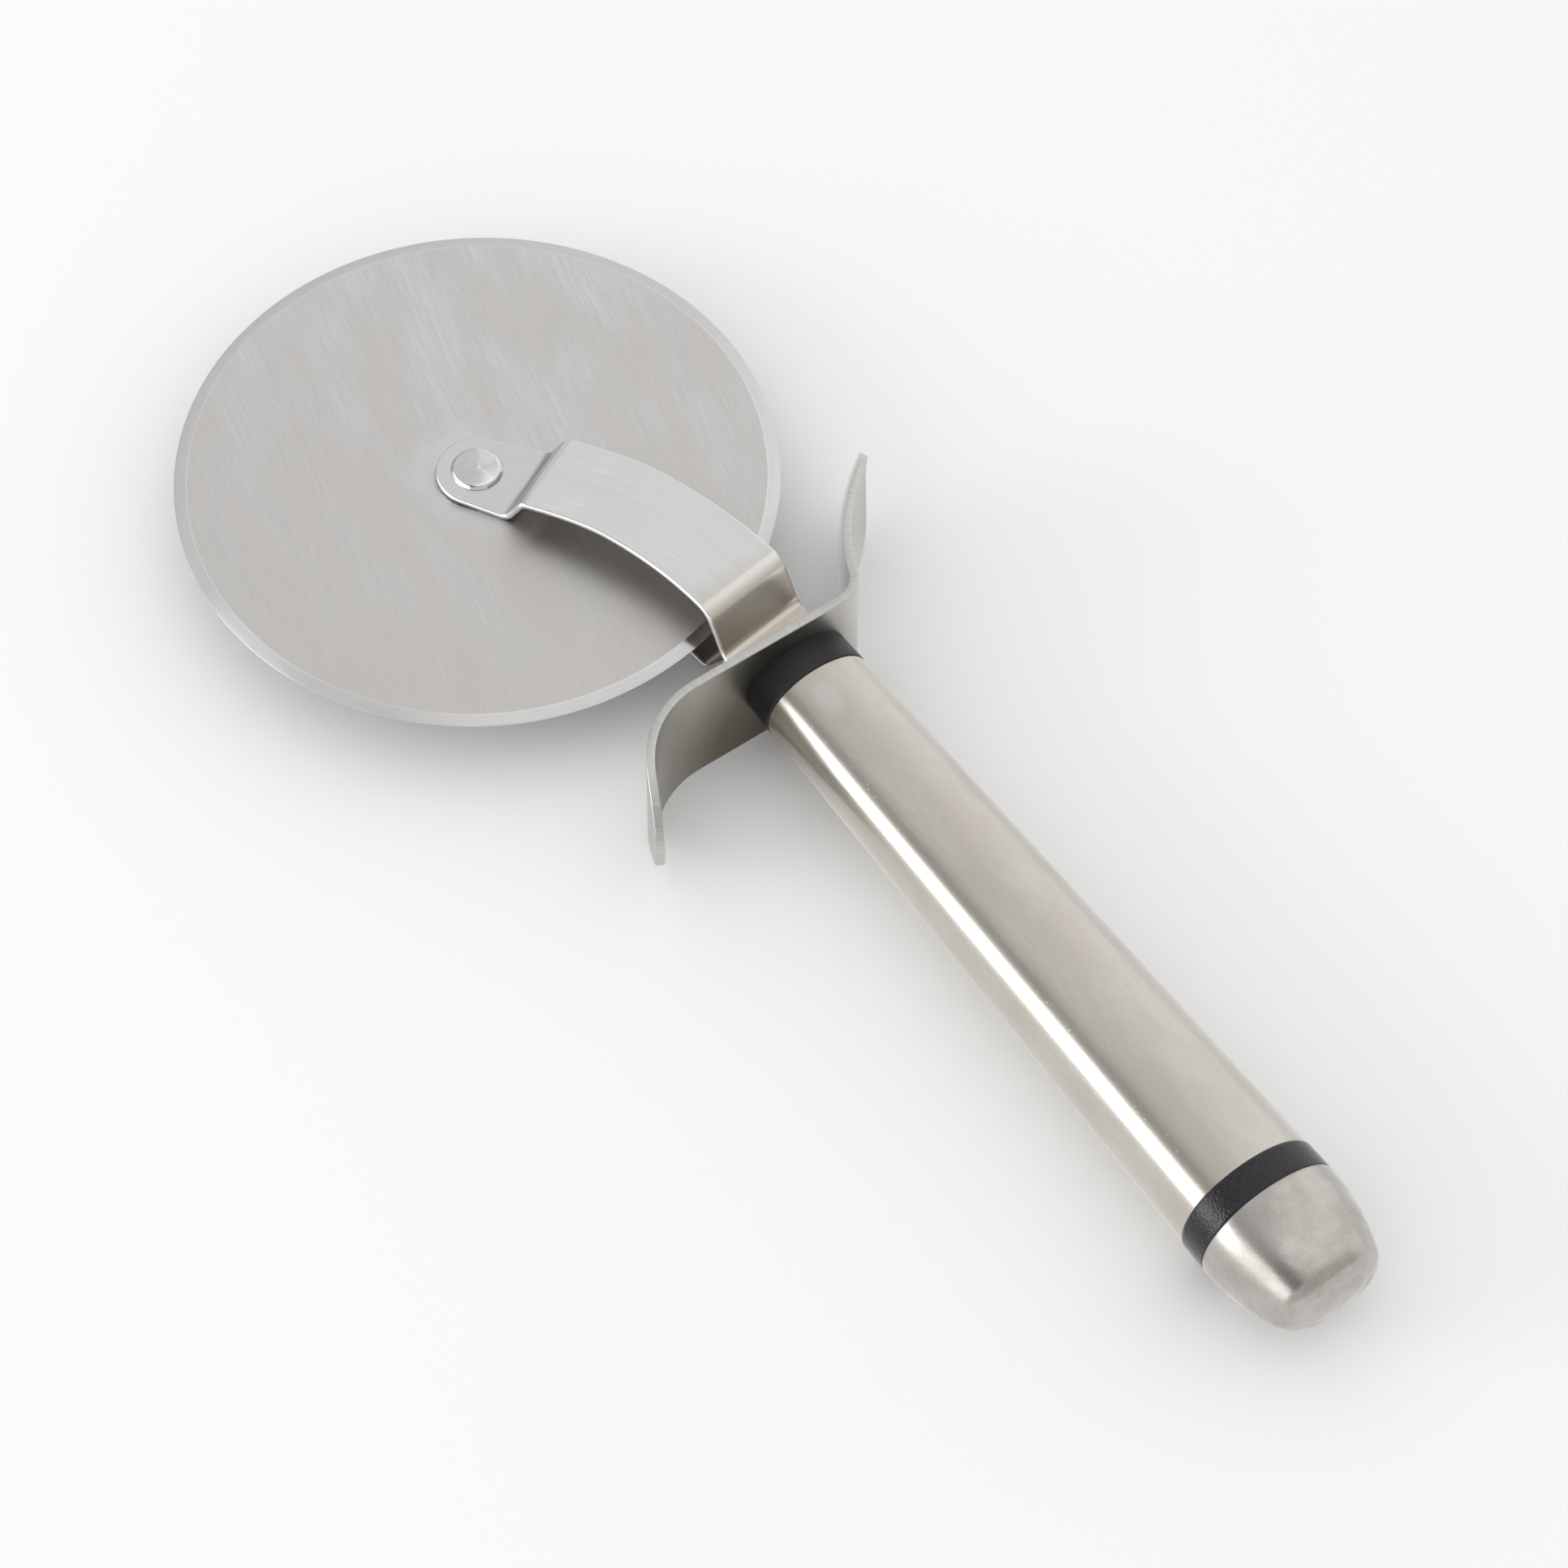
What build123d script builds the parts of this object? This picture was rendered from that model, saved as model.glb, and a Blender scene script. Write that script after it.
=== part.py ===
from build123d import *
import math
import os

os.makedirs("parts", exist_ok=True)

# A hand-held wheel cutter, in millimetres. X runs back along the handle, Y points to the side of
# the thumb rest and Z is the wheel's axle. The origin is the middle of the guard's lower edge,
# which the tool lies on, so the handle's axis runs along X at half the guard's height.

# Cutting wheel
wheel_diameter = 101.6
wheel_thickness = 1.0
bevel_width = 2.2
rim_land = 0.16
wheel_reach = 62.5
wheel_offset = 20.6
wheel_play = 0.15

# Axle: a bush that the wheel turns on, and the rivet that clamps it between the arms
bush_diameter = 6.4
shank_diameter = 4.0
head_diameter = 8.8
head_rim = 0.6
head_rise = 0.55
head_tip_diameter = 0.9
running_clearance = 0.06
fit_clearance = 0.05

# Arms: each is one bent strap with a round tab, a step, a long crown and a flat tang
arm_thickness = 1.2
tab_radius = 7.0
tab_heading = 33.0
step_heading = 25.2
step_foot = 9.25
step_run = 2.9
step_height = 7.1
step_side_reach = 7.5
step_bend_radius = 2.0
crown_height = 8.6
crown_rise_run = 14.0
crown_radius = 40.0
crown_reach = 44.0
sweep_radius = 80.0
thumb_side_reach = 8.3
finger_side_reach = 8.7
drop_reach = 13.65
drop_heading = 8.0
drop_run = 4.4
drop_bend_radius = 3.4
foot_bend_radius = 2.4
crown_lap = 16.0
tang_width = 12.0
tang_length = 28.0
tang_corner = 2.0

# Guard: one S-shaped sheet, a finger guard on one side and a thumb rest on the other
guard_thickness = 1.5
guard_height = 24.4
finger_flat = 19.4
finger_bend_radius = 17.05
finger_bend_angle = 63.7
finger_tip_length = 9.3
finger_taper_length = 19.5
thumb_flat = 9.1
thumb_bend_radius = 5.8
thumb_bend_angle = 70.1
thumb_curve_radius = 45.0
thumb_curve_angle = 38.0
thumb_taper_length = 11.0
thumb_bow = 2.85
thumb_station_shares = (0, 0.25, 0.5, 0.75, 1)
slot_clearance = 0.15

# Handle: two moulded rings, a tapered oval tube and a domed cap in line
front_width = 19.3
front_height = 15.7
rear_width = 25.5
rear_height = 22.1
front_ring_width = 5.75
tube_length = 115.3
rear_ring_width = 5.6
tube_wall = 0.8
ring_shoulder = 0.12
spigot_length = 8.0
spigot_clearance = 0.12
cap_length = 18.0
cap_lip = 0.18
cap_taper = 4.2
cap_round = 4.5
cap_wall = 1.0
cap_cavity_length = 12.0
cap_station_shares = (0, 1 / 3, 2 / 3, 1)
insert_lap = 3.0

# Inside the handle: the rod that draws the parts of the handle together, and its two rivets
rod_diameter = 6.0
fork_start = 15.0
fork_length = 15.0
rod_engagement = 8.0
pin_diameter = 2.6
pin_spacing = 7.0
pin_inset = 3.5
thread_relief = 0.4

# How far a cut runs on beyond what it cuts
overrun = 30.0
tip_cut_depth = 9.0

# Places that follow from the sizes above
mid_height = guard_height / 2
guard_back = guard_thickness / 2
wheel_x = -wheel_reach
wheel_y = -wheel_offset
tab_gap = wheel_thickness / 2 + wheel_play
tube_start = guard_back + front_ring_width
tube_end = tube_start + tube_length
cap_start = tube_end + rear_ring_width
grip_length = cap_start - guard_back
rod_end = cap_start + insert_lap + rod_engagement


def heading(angle):
    """The level direction at this angle from the handle's axis."""
    return Vector(math.cos(math.radians(angle)), math.sin(math.radians(angle)), 0)


def upright_plane(x, y, angle):
    """A vertical plane through a point of the wheel's mid-plane: local X along the heading, local Y up."""
    across = heading(angle - 90)
    return Plane(origin=(x, y, mid_height), x_dir=heading(angle), z_dir=across)


def cross_plane(x):
    """The plane square to the handle at a station: local X to the thumb rest's side, local Y up."""
    return Plane(origin=(x, 0, mid_height), x_dir=(0, 1, 0), z_dir=(1, 0, 0))


def grip_share(x):
    """How far a station lies along the handle's taper, from 0 at the guard to 1 at the cap."""
    return (x - guard_back) / grip_length


def oval(x, inset=0.0):
    """The handle's oval section at a station, drawn this far inside its skin."""
    half_width = (front_width + (rear_width - front_width) * grip_share(x)) / 2 - inset
    half_height = (front_height + (rear_height - front_height) * grip_share(x)) / 2 - inset
    with BuildSketch(cross_plane(x)) as section:
        Ellipse(half_width, half_height)
    return section.sketch


def cap_oval(depth_share, inset=0.0):
    """The cap's section at a share of its length: its skin draws in by the square of that share."""
    drawn_in = cap_taper * depth_share**2 - cap_lip + inset
    with BuildSketch(cross_plane(cap_start + cap_length * depth_share)) as section:
        Ellipse(rear_width / 2 - drawn_in, rear_height / 2 - drawn_in)
    return section.sketch


def thumb_section(share, centre, direction):
    """The thumb rest's strip cut across its path: its edges stand back from its middle by the bow,
    which grows smoothly from nothing at the bend to its full size at the tip."""
    bow = thumb_bow * share**2 * (3 - 2 * share)
    plane = Plane(
        origin=(centre.X, centre.Y, mid_height), x_dir=(direction.Y, -direction.X, 0), z_dir=direction
    )
    with BuildSketch(plane) as section:
        with BuildLine():
            wheel_side = Bezier(
                (bow - guard_back, -mid_height), (-bow - guard_back, 0), (bow - guard_back, mid_height)
            )
            thumb_side = Bezier(
                (bow + guard_back, mid_height), (guard_back - bow, 0), (bow + guard_back, -mid_height)
            )
            Line(wheel_side @ 1, thumb_side @ 0)
            Line(thumb_side @ 1, wheel_side @ 0)
        make_face()
    return section.sketch


# The wheel is a flat disc with both sides of its rim ground to an edge.
wheel_radius = wheel_diameter / 2
bore_radius = bush_diameter / 2 + running_clearance
axle_plane = Plane(origin=(wheel_x, wheel_y, mid_height), x_dir=(1, 0, 0), z_dir=(0, -1, 0))
axle = Axis((wheel_x, wheel_y, 0), (0, 0, 1))
with BuildPart() as cutting_wheel:
    with BuildSketch(axle_plane):
        with BuildLine():
            Polyline(
                (bore_radius, -wheel_thickness / 2),
                (wheel_radius - bevel_width, -wheel_thickness / 2),
                (wheel_radius, -rim_land / 2),
                (wheel_radius, rim_land / 2),
                (wheel_radius - bevel_width, wheel_thickness / 2),
                (bore_radius, wheel_thickness / 2),
                close=True,
            )
        make_face()
    revolve(axis=axle)

# The bush is a little longer than the wheel is thick, so the closed rivet can't pinch the wheel.
with BuildPart() as axle_bush:
    with BuildSketch(Plane(origin=(wheel_x, wheel_y, mid_height))):
        Circle(bush_diameter / 2)
        Circle(shank_diameter / 2 + fit_clearance, mode=Mode.SUBTRACT)
    extrude(amount=tab_gap, both=True)

# The rivet has a low cone on a short rim at each end, seated on the tabs.
head_seat = tab_gap + arm_thickness
head_radius = head_diameter / 2
with BuildPart() as axle_rivet:
    with BuildSketch(axle_plane):
        with BuildLine():
            Polyline(
                (0, -head_seat - head_rim - head_rise),
                (head_tip_diameter / 2, -head_seat - head_rim - head_rise),
                (head_radius, -head_seat - head_rim),
                (head_radius, -head_seat),
                (shank_diameter / 2, -head_seat),
                (shank_diameter / 2, head_seat),
                (head_radius, head_seat),
                (head_radius, head_seat + head_rim),
                (head_tip_diameter / 2, head_seat + head_rim + head_rise),
                (0, head_seat + head_rim + head_rise),
                close=True,
            )
        make_face()
    revolve(axis=axle)

# Plan of an arm: the tab runs out from the axle along its heading, and a long arc then turns the
# strap into line with the handle, where it stops at the guard and only its narrow tang goes on.
# On the thumb rest's side the arc keeps one distance from the middle line, and on the finger guard's
# side the strap widens along it.
turn = math.radians(tab_heading)
sweep_start = (wheel_offset - sweep_radius * (1 - math.cos(turn))) / math.sin(turn)
axle_point = Vector(wheel_x, wheel_y, 0)
turn_point = axle_point + heading(tab_heading) * sweep_start
sweep_end_x = turn_point.X + sweep_radius * math.sin(turn)
sweep_centre = Vector(sweep_end_x, -sweep_radius, 0)
left_of_tab = heading(tab_heading + 90)
middle_side_reach = (step_side_reach + finger_side_reach) / 2
halfway = sweep_centre + heading(90 + tab_heading / 2) * sweep_radius
left_of_middle = heading(90 + tab_heading / 2)
tang_end = tang_length - guard_back

# Heights of the strap's middle above the wheel's mid-plane
tab_level = tab_gap + arm_thickness / 2
step_level = step_height - arm_thickness / 2
crown_level = crown_height - arm_thickness / 2
tang_level = arm_thickness / 2

step_plane = upright_plane(wheel_x, wheel_y, step_heading)
drop_x = -drop_reach
drop_y = -sweep_radius + math.sqrt(sweep_radius**2 - (sweep_end_x - drop_x) ** 2)
drop_plane = upright_plane(drop_x, drop_y, drop_heading)
pin_places = [(fork_start + pin_inset, 0), (fork_start + pin_inset + pin_spacing, 0)]

with BuildPart() as upper_arm:
    with BuildSketch(step_plane):
        with BuildLine():
            FilletPolyline(
                (-tab_radius - step_foot, tab_level),
                (step_foot, tab_level),
                (step_foot + step_run, step_level),
                (step_foot + step_run + crown_rise_run, crown_level),
                (crown_reach, crown_level),
                radius=[step_bend_radius, step_bend_radius, crown_radius],
            )
        trace(line_width=arm_thickness)
    extrude(amount=overrun, both=True)
    with BuildSketch(drop_plane):
        with BuildLine():
            FilletPolyline(
                (-crown_lap, crown_level),
                (0, crown_level),
                (drop_run, tang_level),
                (drop_reach + tang_length + drop_run, tang_level),
                radius=[drop_bend_radius, foot_bend_radius],
            )
        trace(line_width=arm_thickness)
    extrude(amount=overrun, both=True)
    with BuildSketch(Plane.XY.offset(mid_height)):
        with BuildLine():
            tab_left = axle_point + left_of_tab * tab_radius
            tab_right = axle_point - left_of_tab * tab_radius
            tab_front = axle_point - heading(tab_heading) * tab_radius
            turn_left = turn_point + left_of_tab * thumb_side_reach
            turn_right = turn_point - left_of_tab * step_side_reach
            middle_left = halfway + left_of_middle * thumb_side_reach
            middle_right = halfway - left_of_middle * middle_side_reach
            end_left = Vector(sweep_end_x, thumb_side_reach, 0)
            end_right = Vector(sweep_end_x, -finger_side_reach, 0)
            Line(tab_left, turn_left)
            ThreePointArc(turn_left, middle_left, end_left)
            Polyline(
                end_left,
                (-guard_back, thumb_side_reach),
                (-guard_back, tang_width / 2),
                (tang_end - tang_corner, tang_width / 2),
                (tang_end, tang_width / 2 - tang_corner),
                (tang_end, -tang_width / 2 + tang_corner),
                (tang_end - tang_corner, -tang_width / 2),
                (-guard_back, -tang_width / 2),
                (-guard_back, -finger_side_reach),
                end_right,
            )
            ThreePointArc(end_right, middle_right, turn_right)
            Line(turn_right, tab_right)
            ThreePointArc(tab_right, tab_front, tab_left)
        make_face()
    extrude(amount=crown_height + arm_thickness, mode=Mode.INTERSECT)
    with BuildSketch(Plane.XY.offset(mid_height)):
        with Locations((wheel_x, wheel_y)):
            Circle(shank_diameter / 2 + fit_clearance)
        with Locations(*pin_places):
            Circle(pin_diameter / 2 + fit_clearance)
    extrude(amount=crown_height, mode=Mode.SUBTRACT)

# The lower arm is the same strap turned over, with its tang flat against the upper one.
with BuildPart() as lower_arm:
    mirror(upper_arm.part, about=Plane.XY.offset(mid_height))

# The guard is one strip bent along its length: a wide bend leads into the finger guard, and a tight
# bend turns the thumb rest forward beside the wheel, where it is also pressed hollow for the thumb.
finger_tip_heading = finger_bend_angle - 90
with BuildPart() as finger_guard:
    with BuildSketch():
        with BuildLine():
            thumb_start = Line((0, 0), (0, thumb_flat))
            thumb_bend = JernArc(thumb_start @ 1, thumb_start % 1, thumb_bend_radius, thumb_bend_angle)
        trace(line_width=guard_thickness)
        with BuildLine():
            finger_start = Line((0, 0), (0, -finger_flat))
            finger_bend = JernArc(finger_start @ 1, finger_start % 1, finger_bend_radius, finger_bend_angle)
            finger_tip_step = heading(finger_tip_heading) * finger_tip_length
            finger_tip = Line(finger_bend @ 1, finger_bend @ 1 + finger_tip_step)
        trace(line_width=guard_thickness)
    extrude(amount=guard_height)
    thumb_curve = JernArc(
        thumb_bend @ 1, thumb_bend % 1, thumb_curve_radius, -thumb_curve_angle, mode=Mode.PRIVATE
    )
    loft(
        sections=[
            thumb_section(share, thumb_curve @ share, thumb_curve % share)
            for share in thumb_station_shares
        ]
    )
    # Each wing ends in a half oval, cut square to the chord of its last stretch.
    finger_taper_share = (finger_taper_length - finger_tip_length) / finger_bend.length
    thumb_taper_share = thumb_taper_length / thumb_curve.length
    for tip, start in (
        (finger_tip @ 1, finger_bend @ (1 - finger_taper_share)),
        (thumb_curve @ 1, thumb_curve @ (1 - thumb_taper_share)),
    ):
        chord = tip - start
        across = Vector(chord.Y, -chord.X, 0)
        with BuildSketch(Plane(origin=(start.X, start.Y, mid_height), x_dir=chord, z_dir=across)):
            Rectangle(chord.length + overrun, guard_height + overrun, align=(Align.MIN, Align.CENTER))
            Ellipse(chord.length, mid_height, mode=Mode.SUBTRACT)
        extrude(amount=tip_cut_depth, both=True, mode=Mode.SUBTRACT)
    with BuildSketch(cross_plane(0)):
        Rectangle(tang_width + 2 * slot_clearance, 2 * (arm_thickness + slot_clearance))
    extrude(amount=guard_thickness, both=True, mode=Mode.SUBTRACT)

# The front ring fills the gap between guard and tube, and its spigot centres the tube.
with BuildPart() as front_ring:
    loft(sections=[oval(guard_back, -ring_shoulder), oval(tube_start, -ring_shoulder)])
    loft(sections=[oval(tube_start, tube_wall + spigot_clearance),
                   oval(tube_start + spigot_length, tube_wall + spigot_clearance)])
    with BuildSketch(cross_plane(guard_back)):
        Rectangle(tang_width + 2 * slot_clearance, 2 * (arm_thickness + slot_clearance))
    extrude(amount=front_ring_width + spigot_length, mode=Mode.SUBTRACT)

# The tube is a thin drawn shell that widens towards the cap.
with BuildPart() as handle_tube:
    loft(sections=[oval(tube_start), oval(tube_end)])
    loft(sections=[oval(tube_start, tube_wall), oval(tube_end, tube_wall)], mode=Mode.SUBTRACT)

# The rear ring has a spigot on each side, one in the tube and one in the cap.
rod_hole_radius = rod_diameter / 2 + fit_clearance
cap_spigot_share = insert_lap / cap_length
with BuildPart() as rear_ring:
    loft(sections=[oval(tube_end, -ring_shoulder), oval(cap_start, -ring_shoulder)])
    loft(sections=[oval(tube_end - spigot_length, tube_wall + spigot_clearance),
                   oval(tube_end, tube_wall + spigot_clearance)])
    loft(sections=[cap_oval(0, cap_wall + cap_lip + spigot_clearance),
                   cap_oval(cap_spigot_share, cap_wall + cap_lip + spigot_clearance)])
    with BuildSketch(cross_plane(tube_end - spigot_length)):
        Circle(rod_hole_radius)
    extrude(amount=spigot_length + rear_ring_width + insert_lap, mode=Mode.SUBTRACT)

# The cap is a drawn shell whose sides curve in to a rounded, nearly flat end.
cavity_share = cap_cavity_length / cap_length
with BuildPart() as end_cap:
    loft(sections=[cap_oval(share) for share in cap_station_shares])
    fillet(end_cap.edges().group_by(Axis.X)[-1], radius=cap_round)
    loft(sections=[cap_oval(0, cap_wall + cap_lip), cap_oval(cavity_share / 2, cap_wall + cap_lip),
                   cap_oval(cavity_share, cap_wall + cap_lip)], mode=Mode.SUBTRACT)

# The insert is moulded to the inside of the cap and carries the thread that the rod screws into.
with BuildPart() as cap_insert:
    loft(sections=[cap_oval(cap_spigot_share, cap_wall + cap_lip + spigot_clearance),
                   cap_oval((cap_spigot_share + cavity_share) / 2, cap_wall + cap_lip + spigot_clearance),
                   cap_oval(cavity_share, cap_wall + cap_lip + spigot_clearance)])
    with BuildSketch(cross_plane(cap_start + insert_lap)):
        Circle(rod_hole_radius)
    extrude(amount=rod_engagement + thread_relief, mode=Mode.SUBTRACT)

# The rod's forked end straddles both tangs, and its far end screws into the cap's insert.
with BuildPart() as tie_rod:
    with BuildSketch(cross_plane(fork_start)):
        Circle(rod_diameter / 2)
    extrude(amount=rod_end - fork_start)
    with BuildSketch(Plane(origin=(fork_start, 0, mid_height), x_dir=(1, 0, 0), z_dir=(0, -1, 0))):
        Rectangle(fork_length, 2 * (arm_thickness + fit_clearance), align=(Align.MIN, Align.CENTER))
    extrude(amount=rod_diameter, both=True, mode=Mode.SUBTRACT)
    with BuildSketch(Plane.XY):
        with Locations(*pin_places):
            Circle(pin_diameter / 2 + fit_clearance)
    extrude(amount=guard_height, mode=Mode.SUBTRACT)

# Two rivets pin the fork to the tangs.
with BuildPart() as tang_rivets:
    with BuildSketch(Plane.XY.offset(mid_height)):
        with Locations(*pin_places):
            Circle(pin_diameter / 2)
    extrude(amount=rod_diameter / 2 - fit_clearance, both=True)

pieces = {
    "cutting_wheel": cutting_wheel,
    "axle_bush": axle_bush,
    "axle_rivet": axle_rivet,
    "upper_arm": upper_arm,
    "lower_arm": lower_arm,
    "finger_guard": finger_guard,
    "front_ring": front_ring,
    "handle_tube": handle_tube,
    "rear_ring": rear_ring,
    "end_cap": end_cap,
    "cap_insert": cap_insert,
    "tie_rod": tie_rod,
    "tang_rivets": tang_rivets,
}
for name, piece in pieces.items():
    piece.part.label = name
    export_step(piece.part, f"parts/{name}.step")
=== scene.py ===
import math

import bmesh
import bpy
import numpy as np
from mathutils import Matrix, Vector


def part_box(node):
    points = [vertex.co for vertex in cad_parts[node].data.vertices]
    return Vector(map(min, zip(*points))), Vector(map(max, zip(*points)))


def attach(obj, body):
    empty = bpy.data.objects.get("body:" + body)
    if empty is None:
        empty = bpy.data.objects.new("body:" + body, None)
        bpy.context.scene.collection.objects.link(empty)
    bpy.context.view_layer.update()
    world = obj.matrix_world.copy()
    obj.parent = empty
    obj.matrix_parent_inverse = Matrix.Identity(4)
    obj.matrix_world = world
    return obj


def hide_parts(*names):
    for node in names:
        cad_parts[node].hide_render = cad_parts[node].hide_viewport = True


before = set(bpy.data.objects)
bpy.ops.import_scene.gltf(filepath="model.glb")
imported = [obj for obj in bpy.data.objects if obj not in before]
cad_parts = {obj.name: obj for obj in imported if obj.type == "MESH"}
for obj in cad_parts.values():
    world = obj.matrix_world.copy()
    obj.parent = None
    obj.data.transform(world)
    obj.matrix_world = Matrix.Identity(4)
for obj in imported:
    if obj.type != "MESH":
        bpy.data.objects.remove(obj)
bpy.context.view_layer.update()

mm = 0.001

# Places read from the frame
wheel_low, wheel_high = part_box("cutting_wheel")
guard_low, guard_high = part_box("finger_guard")
tube_low, tube_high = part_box("handle_tube")
cap_low, cap_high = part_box("end_cap")
rivet_low, rivet_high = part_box("axle_rivet")
axle_x = (wheel_low.x + wheel_high.x) / 2
axle_y = (wheel_low.y + wheel_high.y) / 2
mid_height = (guard_low.z + guard_high.z) / 2
wheel_radius = (wheel_high.x - wheel_low.x) / 2
wheel_half = (wheel_high.z - wheel_low.z) / 2
brushing_turn = math.radians(-14.0)

# Wheel
bevel_width = 2.2 * mm
edge_half = 0.08 * mm
edge_nose = 0.7  # the outermost point's height, as a share of edge_half
bore_radius = 3.26 * mm
crease = 0.05 * mm
first_face_ring = 8.0 * mm
face_rings = 12

# Arms
arm_thickness = 1.2 * mm
arm_gap = 0.65 * mm
tab_radius = 7.0 * mm
tab_heading = math.radians(33.0)
step_heading = math.radians(25.2)
step_foot = 9.25 * mm
step_run = 2.9 * mm
step_height = 7.1 * mm
step_side_reach = 7.5 * mm
step_bend_radius = 2.0 * mm
crown_height = 8.6 * mm
crown_rise_run = 14.0 * mm
crown_radius = 40.0 * mm
sweep_radius = 80.0 * mm
thumb_side_reach = 8.3 * mm
finger_side_reach = 8.7 * mm
drop_reach = 13.65 * mm
drop_heading = math.radians(8.0)
drop_run = 4.4 * mm
drop_bend_radius = 3.4 * mm
foot_bend_radius = 2.4 * mm
tang_half_width = 6.0 * mm
tang_corner = 2.0 * mm
tang_length = 28.0 * mm
arm_rim = 0.46 * mm
arm_station = 0.2 * mm
arm_rim_power = 1.5
arm_rows_across = 14
tab_columns = 48
tang_end_columns = 18

# How far before the tang's shoulder the strap starts to narrow, and where the last station before it is
shoulder_knot = 0.01 * mm
shoulder_station = 0.02 * mm

# The last stretch of the tang, whose rows all fan out from one point
tang_fan = 3.0 * mm

# Guard
guard_thickness = 1.5 * mm
finger_flat = 19.4 * mm
finger_bend_radius = 17.05 * mm
finger_bend_angle = math.radians(63.7)
finger_tip_length = 9.3 * mm
finger_taper_length = 19.5 * mm
thumb_flat = 9.1 * mm
thumb_bend_radius = 5.8 * mm
thumb_bend_angle = math.radians(70.1)
thumb_curve_radius = 45.0 * mm
thumb_curve_angle = math.radians(38.0)
thumb_taper_length = 11.0 * mm
thumb_bow = 2.85 * mm
guard_rim = 0.24 * mm
guard_rim_power = 1.8
guard_station = 0.25 * mm
guard_rows_across = 18
guard_path_points = 8000
half_oval_columns = 90

# The support column beside a sheet's rounded rim
rim_support = 0.06 * mm

# Handle
front_half_width = 9.65 * mm
front_half_height = 7.85 * mm
rear_half_width = 12.75 * mm
rear_half_height = 11.05 * mm
oval_power = 2.05
tube_wall = 0.8 * mm
tube_rim = 0.25 * mm
tube_rows = 60
ring_shoulder = 0.12 * mm
ring_rim = 0.35 * mm
ring_lap = 0.2 * mm
ring_wall = 3.0 * mm
ring_rows = 8
shell_rim_rows = 5
cap_lip = 0.18 * mm
cap_taper = 4.2 * mm
cap_round = 4.5 * mm
cap_dome = 0.7 * mm
cap_wall = 1.0 * mm
cap_rim = 0.15 * mm
cap_hollow_shares = (0.66, 0.3, 0.0)
cap_side_rows = 60
cap_round_rows = 16
cap_face_rows = 14
handle_angles = 192

# Rivet
head_radius = 4.4 * mm
head_rim_height = 0.6 * mm
head_rise = 0.55 * mm
head_tip_radius = 0.45 * mm
head_edge = 0.12 * mm
head_chamfer = 0.55 * mm
shank_radius = 2.0 * mm
cone_rows = 9
cone_bulge = 0.12
turned_angles = 256
seam_heading = math.radians(21.7)

# Points closer than this are one
weld = 0.002 * mm

# The spans that noise fills, from its darkest to its lightest, and the middle one for clouds
noise_span = (0.3, 0.7)
cloud_span = (0.35, 0.65)

# Studio. The dome's levels go by degrees of lean from overhead, negative on the finger guard's side, and
# the camera's angles are in degrees.
floor_half = 6.0
floor_drop = 0.05 * mm
dome_levels = [(-90, 1.2), (-84, 1.05), (-81, 2.0), (-57, 2.0), (-54, 0.63), (-48, 0.50), (-41, 0.50)]
dome_levels += [(-32, 0.70), (-20, 0.81), (-5, 0.84), (10, 0.855), (28, 0.89), (48, 0.96), (75, 1.02)]
dome_levels += [(90, 1.01)]
rear_half_towards = (0.855, 0.502, 0.130)
dim_spot_towards = (0.38, -0.62, 0.69)
softbox_width = 0.62
softbox_height = 0.42
softbox_distance = 1.2
softbox_level = 3.8
softbox_azimuth = math.radians(-110.0)
softbox_rise = math.radians(18.8)
camera_place = (0.49326, -0.35394, 0.88817)
camera_angles = (33.7055, -0.1543, 54.7121)
camera_sensor = 36.0
camera_lens = 149.07


def add(tree, kind, inputs=(), **settings):
    """Adds one node and returns it. Inputs go by name or by order; a socket is linked, a value is set."""
    made = tree.nodes.new(kind)
    for name, value in settings.items():
        setattr(made, name, value)
    pairs = inputs.items() if isinstance(inputs, dict) else enumerate(inputs)
    for key, value in pairs:
        if isinstance(value, bpy.types.NodeSocket):
            tree.links.new(value, made.inputs[key])
        elif value is not None:
            made.inputs[key].default_value = value
    return made


def maths(tree, operation, *values):
    """One Math node's result."""
    return add(tree, "ShaderNodeMath", values, operation=operation).outputs[0]


def spread(tree, value, low, high, to_low=0.0, to_high=1.0):
    """A value between low and high carried to between to_low and to_high, and held at both ends."""
    return add(tree, "ShaderNodeMapRange", (value, low, high, to_low, to_high)).outputs[0]


def blend_colours(tree, share, first, second):
    """The first colour where share is 0, the second where it is 1. Each is a socket or three numbers."""
    pair = [one if isinstance(one, bpy.types.NodeSocket) else (*one, 1) for one in (first, second)]
    return add(tree, "ShaderNodeMix", {0: share, 6: pair[0], 7: pair[1]}, data_type="RGBA").outputs[2]


def object_place(tree):
    """The place along X, Y and Z on Object coordinates."""
    place = add(tree, "ShaderNodeTexCoord").outputs["Object"]
    return add(tree, "ShaderNodeSeparateXYZ", (place,)).outputs


def grain_place(tree):
    """The place across the grain as X and along it as Y."""
    place = add(tree, "ShaderNodeUVMap", uv_map="across_grain").outputs[0]
    return add(tree, "ShaderNodeSeparateXYZ", (place,)).outputs


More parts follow.
